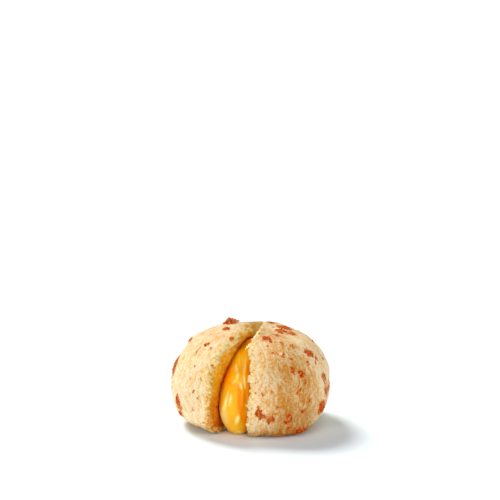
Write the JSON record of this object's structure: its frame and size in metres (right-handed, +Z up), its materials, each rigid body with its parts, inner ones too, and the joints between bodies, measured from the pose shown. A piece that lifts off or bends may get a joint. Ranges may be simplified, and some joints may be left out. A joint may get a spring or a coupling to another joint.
{
  "type": "cheese bread",
  "caption": "Small round baked cheese bread, torn open at the front so that its molten cheese filling runs out of the tear.",
  "frame": {"origin": "on the table, under the middle of the bread's bounding box", "axes": "+Z up, +X to the right as the tear is looked at, and the tear opens towards -Y"},
  "size_m": [0.0626, 0.0556, 0.0413],
  "materials": {
    "crust": "matt",
    "cheese": "gloss"
  },
  "bodies": {
    "root": {"bread": "crust", "cheese_filling": "cheese"}
  },
  "joints": []
}
